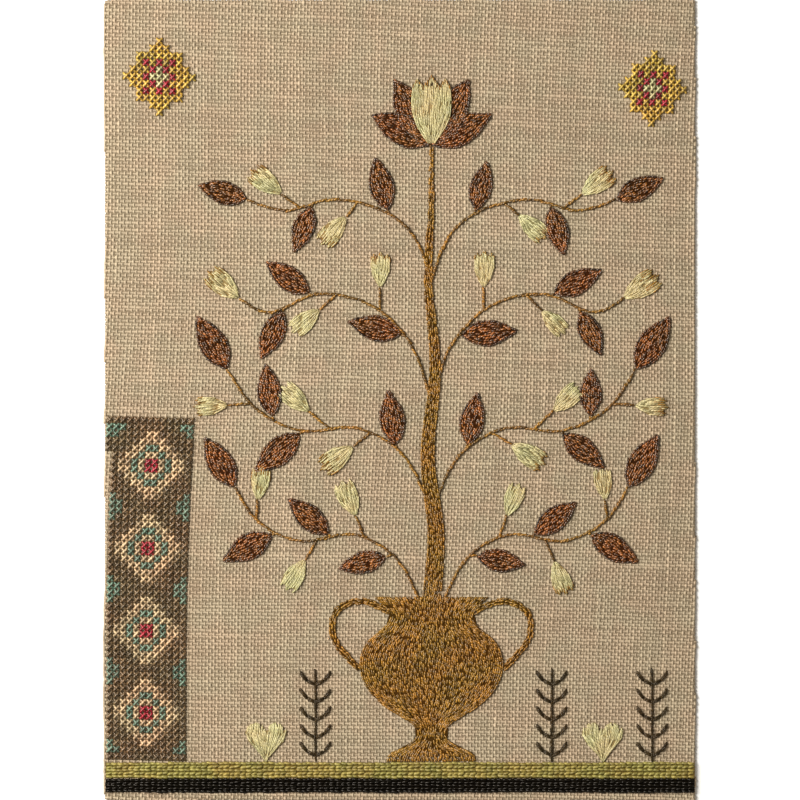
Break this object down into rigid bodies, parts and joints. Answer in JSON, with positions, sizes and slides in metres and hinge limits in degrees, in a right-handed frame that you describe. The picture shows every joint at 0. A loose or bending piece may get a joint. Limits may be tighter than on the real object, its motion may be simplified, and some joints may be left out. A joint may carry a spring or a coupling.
{
  "type": "embroidered linen sampler panel",
  "caption": "Flat cut length of plain-woven linen, embroidered with a flowering urn, leaves, buds, stars, a lozenge border and a ground line.",
  "frame": {"origin": "on the resting plane, under the middle of the cloth", "axes": "+X to the right of the design, +Y to its top, +Z out of the embroidered face"},
  "size_m": [0.15, 0.2034, 0.0016],
  "materials": {
    "linen": "matte",
    "golden_brown_thread": "satin",
    "russet_thread": "satin",
    "cream_thread": "satin",
    "gold_thread": "satin",
    "crimson_thread": "satin",
    "teal_thread": "satin",
    "taupe_thread": "satin",
    "oatmeal_thread": "satin",
    "green_thread": "satin",
    "dark_thread": "satin"
  },
  "bodies": {
    "root": {"linen_sampler": "linen"}
  },
  "joints": []
}
